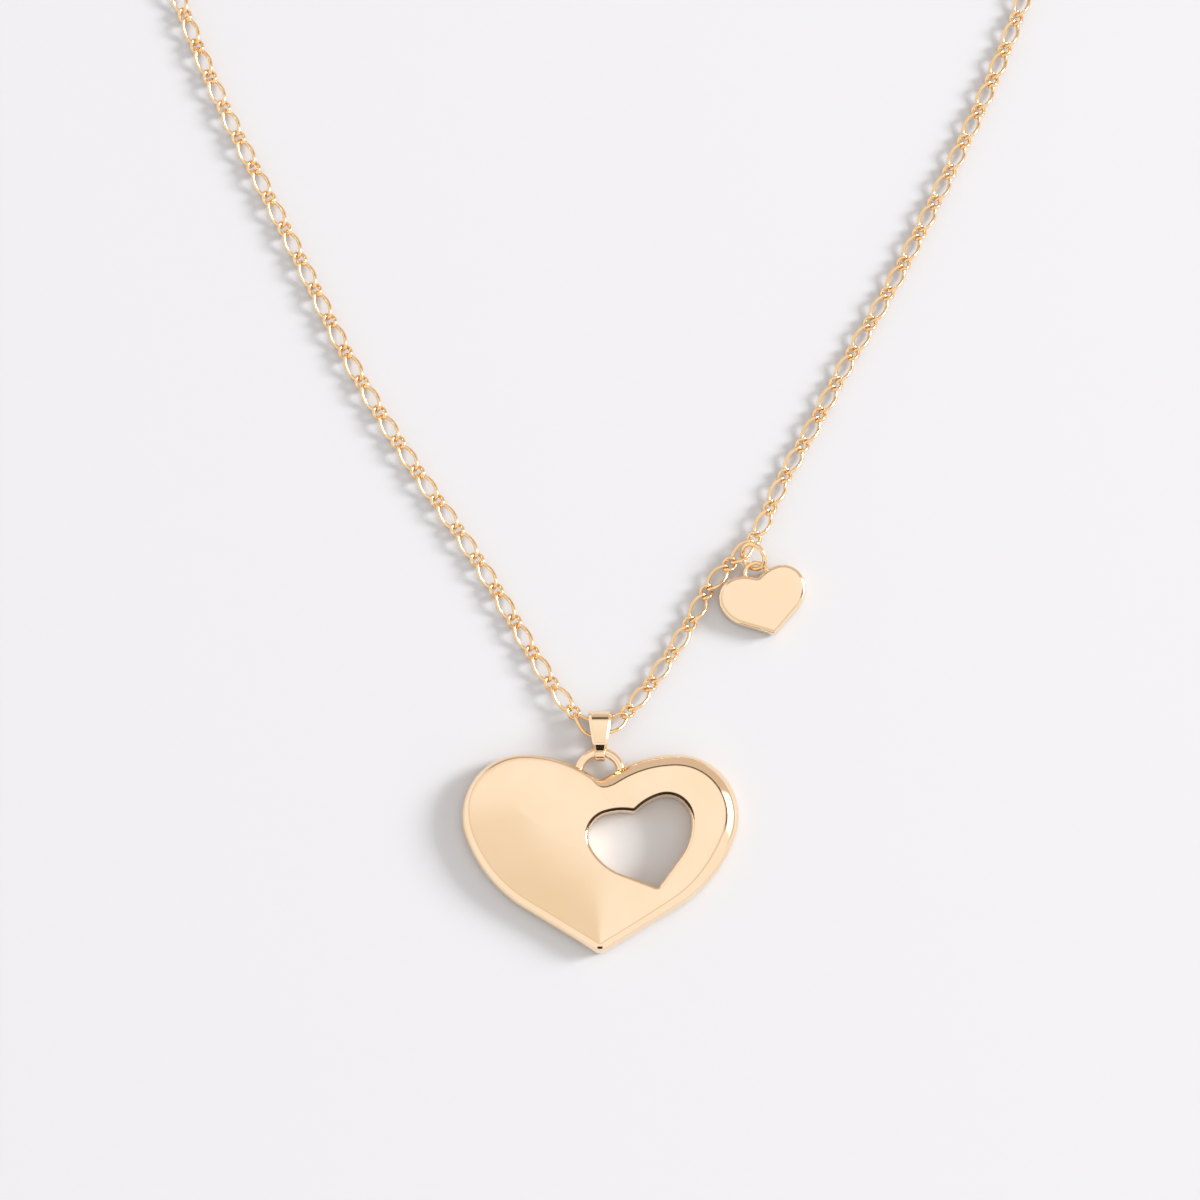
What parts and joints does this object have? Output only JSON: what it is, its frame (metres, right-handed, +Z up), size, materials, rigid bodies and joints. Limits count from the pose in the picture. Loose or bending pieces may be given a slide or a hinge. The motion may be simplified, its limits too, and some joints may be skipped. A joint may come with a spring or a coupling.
{
  "type": "pendant necklace",
  "caption": "Puffed heart pendant with a heart-shaped window on a tapered bail, a fine twisted-link chain, a small heart charm, a lobster clasp and an extender.",
  "frame": {"origin": "on the pendant's flat back, on its line of symmetry, between the window and the tip", "axes": "+Z up from the surface it lies on, +Y from the pendant's tip towards the clasp, +X to the right"},
  "size_m": [0.1204, 0.2053, 0.0038],
  "materials": {
    "pendant_gold": "bright polished gold plate",
    "bail_gold": "bright polished gold plate",
    "chain_gold": "bright polished gold plate",
    "charm_gold": "bright polished gold plate",
    "ring_gold": "bright polished gold plate",
    "clasp_gold": "bright polished gold plate",
    "extender_gold": "bright polished gold plate",
    "spring_steel": "plain drawn wire"
  },
  "bodies": {
    "pendant": {"pendant_heart": "pendant_gold", "pendant_ring": "pendant_gold"},
    "bail": {"bail": "bail_gold"},
    "chain_middle": {"chain_middle_long_links": "chain_gold", "chain_middle_short_links": "chain_gold"},
    "left_chain_1": {"left_chain_1_long_links": "chain_gold", "left_chain_1_short_links": "chain_gold"},
    "left_chain_2": {"left_chain_2_long_links": "chain_gold", "left_chain_2_short_links": "chain_gold"},
    "left_chain_3": {"left_chain_3_long_links": "chain_gold", "left_chain_3_short_links": "chain_gold"},
    "left_chain_4": {"left_chain_4_long_links": "chain_gold", "left_chain_4_short_links": "chain_gold"},
    "left_chain_5": {"left_chain_5_long_links": "chain_gold", "left_chain_5_short_links": "chain_gold"},
    "left_chain_6": {"left_chain_6_long_links": "chain_gold", "left_chain_6_short_links": "chain_gold"},
    "left_chain_7": {"left_chain_7_long_links": "chain_gold", "left_chain_7_short_links": "chain_gold"},
    "left_chain_8": {"left_chain_8_long_links": "chain_gold", "left_chain_8_short_links": "chain_gold"},
    "right_chain_1": {"right_chain_1_long_links": "chain_gold", "right_chain_1_short_links": "chain_gold"},
    "right_chain_2": {"right_chain_2_long_links": "chain_gold", "right_chain_2_short_links": "chain_gold"},
    "right_chain_3": {"right_chain_3_long_links": "chain_gold", "right_chain_3_short_links": "chain_gold"},
    "right_chain_4": {"right_chain_4_long_links": "chain_gold", "right_chain_4_short_links": "chain_gold"},
    "right_chain_5": {"right_chain_5_long_links": "chain_gold", "right_chain_5_short_links": "chain_gold"},
    "right_chain_6": {"right_chain_6_long_links": "chain_gold", "right_chain_6_short_links": "chain_gold"},
    "right_chain_7": {"right_chain_7_long_links": "chain_gold", "right_chain_7_short_links": "chain_gold"},
    "right_chain_8": {"right_chain_8_long_links": "chain_gold", "right_chain_8_short_links": "chain_gold"},
    "charm_jump_ring": {"charm_jump_ring": "ring_gold"},
    "charm": {"charm_heart": "charm_gold", "charm_ring": "charm_gold"},
    "clasp_ring": {"clasp_ring": "ring_gold"},
    "clasp": {"clasp_body": "clasp_gold", "clasp_pin": "clasp_gold", "clasp_spring": "spring_steel"},
    "clasp_lever": {"clasp_lever": "clasp_gold"},
    "extender_ring": {"extender_ring": "ring_gold"},
    "extender_1": {"extender_1_links": "extender_gold"},
    "extender_2": {"extender_2_links": "extender_gold"},
    "extender_3": {"extender_3_links": "extender_gold"},
    "extender_drop": {"extender_drop": "extender_gold"}
  },
  "joints": [
    {"name": "bail_swing", "type": "hinge", "parent": "pendant", "child": "bail", "pos_m": [0, 0.01655, 0.00106], "axis": [1, 0, 0], "range_deg": [-60, 75]},
    {"name": "chain_in_bail", "type": "hinge", "parent": "bail", "child": "chain_middle", "pos_m": [0, 0.0186, 0.00128], "axis": [1, 0, 0], "range_deg": [-8, 8]},
    {"name": "left_chain_1_bend", "type": "hinge", "parent": "chain_middle", "child": "left_chain_1", "pos_m": [-0.0033, 0.02145, 0.0009], "axis": [0, 0, 1], "range_deg": [-3, 20]},
    {"name": "left_chain_2_fold", "type": "hinge", "parent": "left_chain_1", "child": "left_chain_2", "pos_m": [-0.01826, 0.04505, 0.00052], "axis": [0.8294, 0.5586, 0], "range_deg": [-30, 30]},
    {"name": "left_chain_3_fold", "type": "hinge", "parent": "left_chain_2", "child": "left_chain_3", "pos_m": [-0.03204, 0.06915, 0.00052], "axis": [0.8996, 0.4367, 0], "range_deg": [-30, 30]},
    {"name": "left_chain_4_bend", "type": "hinge", "parent": "left_chain_3", "child": "left_chain_4", "pos_m": [-0.04418, 0.09396, 0.00052], "axis": [0, 0, 1], "range_deg": [-4, 20]},
    {"name": "left_chain_5_fold", "type": "hinge", "parent": "left_chain_4", "child": "left_chain_5", "pos_m": [-0.05361, 0.11972, 0.00052], "axis": [0.954, 0.2997, 0], "range_deg": [-30, 30]},
    {"name": "left_chain_6_fold", "type": "hinge", "parent": "left_chain_5", "child": "left_chain_6", "pos_m": [-0.05894, 0.14636, 0.00052], "axis": [0.9998, 0.0197, 0], "range_deg": [-30, 30]},
    {"name": "left_chain_7_bend", "type": "hinge", "parent": "left_chain_6", "child": "left_chain_7", "pos_m": [-0.05187, 0.17196, 0.00052], "axis": [0, 0, 1], "range_deg": [-8, 8]},
    {"name": "left_chain_8_fold", "type": "hinge", "parent": "left_chain_7", "child": "left_chain_8", "pos_m": [-0.02848, 0.18464, 0.00056], "axis": [0.1525, -0.9883, 0], "range_deg": [-30, 30]},
    {"name": "right_chain_1_bend", "type": "hinge", "parent": "chain_middle", "child": "right_chain_1", "pos_m": [0.00337, 0.02138, 0.00091], "axis": [0, 0, -1], "range_deg": [-3, 20]},
    {"name": "right_chain_2_fold", "type": "hinge", "parent": "right_chain_1", "child": "right_chain_2", "pos_m": [0.01898, 0.04434, 0.00063], "axis": [0.9072, -0.4206, 0], "range_deg": [-30, 30]},
    {"name": "right_chain_3_fold", "type": "hinge", "parent": "right_chain_2", "child": "right_chain_3", "pos_m": [0.03231, 0.06872, 0.00052], "axis": [0.8808, -0.4734, 0], "range_deg": [-30, 30]},
    {"name": "right_chain_4_bend", "type": "hinge", "parent": "right_chain_3", "child": "right_chain_4", "pos_m": [0.04438, 0.09356, 0.00052], "axis": [0, 0, -1], "range_deg": [-4, 20]},
    {"name": "right_chain_5_fold", "type": "hinge", "parent": "right_chain_4", "child": "right_chain_5", "pos_m": [0.0535, 0.11943, 0.00052], "axis": [0.9522, -0.3054, 0], "range_deg": [-30, 30]},
    {"name": "right_chain_6_fold", "type": "hinge", "parent": "right_chain_5", "child": "right_chain_6", "pos_m": [0.05911, 0.14604, 0.00052], "axis": [0.9964, -0.0848, 0], "range_deg": [-30, 30]},
    {"name": "right_chain_7_bend", "type": "hinge", "parent": "right_chain_6", "child": "right_chain_7", "pos_m": [0.05591, 0.1727, 0.00052], "axis": [0, 0, -1], "range_deg": [-5, 20]},
    {"name": "right_chain_8_fold", "type": "hinge", "parent": "right_chain_7", "child": "right_chain_8", "pos_m": [0.03739, 0.19186, 0.00054], "axis": [0.4237, 0.9058, 0], "range_deg": [-30, 30]},
    {"name": "charm_jump_ring_swing", "type": "hinge", "parent": "right_chain_1", "child": "charm_jump_ring", "pos_m": [0.0162, 0.03827, 0.00083], "axis": [0.712, 0.7021, 0.0081], "range_deg": [-12, 25]},
    {"name": "charm_swing", "type": "hinge", "parent": "charm_jump_ring", "child": "charm", "pos_m": [0.01681, 0.03755, 0.00085], "axis": [0.9603, 0.279, 0], "range_deg": [-15, 30]},
    {"name": "clasp_ring_swing", "type": "hinge", "parent": "right_chain_8", "child": "clasp_ring", "pos_m": [0.00835, 0.19771, 0.00128], "axis": [0.0837, -0.7058, 0.7035], "range_deg": [-30, 30]},
    {"name": "clasp_swing", "type": "hinge", "parent": "clasp_ring", "child": "clasp", "pos_m": [0.00626, 0.19767, 0.0015], "axis": [-0.0597, -0.7082, -0.7035], "range_deg": [-30, 30]},
    {"name": "clasp_lever_open", "type": "hinge", "parent": "clasp", "child": "clasp_lever", "pos_m": [0.00312, 0.19653, 0.00139], "axis": [0.0213, 0.0012, -0.9998], "range_deg": [0, 24], "stiffness_Nm_per_rad": 0.0002, "springref_deg": -17.19},
    {"name": "extender_ring_swing", "type": "hinge", "parent": "left_chain_8", "child": "extender_ring", "pos_m": [0.00029, 0.18033, 0.00152], "axis": [0.4309, 0.5615, 0.7064], "range_deg": [-25, 25]},
    {"name": "extender_1_swing", "type": "hinge", "parent": "extender_ring", "child": "extender_1", "pos_m": [0.00176, 0.1793, 0.00144], "axis": [0.3798, 0.5973, -0.7064], "range_deg": [-25, 25]},
    {"name": "extender_2_swing", "type": "hinge", "parent": "extender_1", "child": "extender_2", "pos_m": [0.01122, 0.16674, 0.00104], "axis": [0.6435, 0.2934, 0.7069], "range_deg": [-25, 25]},
    {"name": "extender_3_swing", "type": "hinge", "parent": "extender_2", "child": "extender_3", "pos_m": [0.01336, 0.15106, 0.00104], "axis": [0.706, -0.0394, -0.7071], "range_deg": [-25, 25]},
    {"name": "drop_swing", "type": "hinge", "parent": "extender_3", "child": "extender_drop", "pos_m": [0.00904, 0.13578, 0.00105], "axis": [0.6454, -0.289, 0.7071], "range_deg": [-30, 30]}
  ]
}
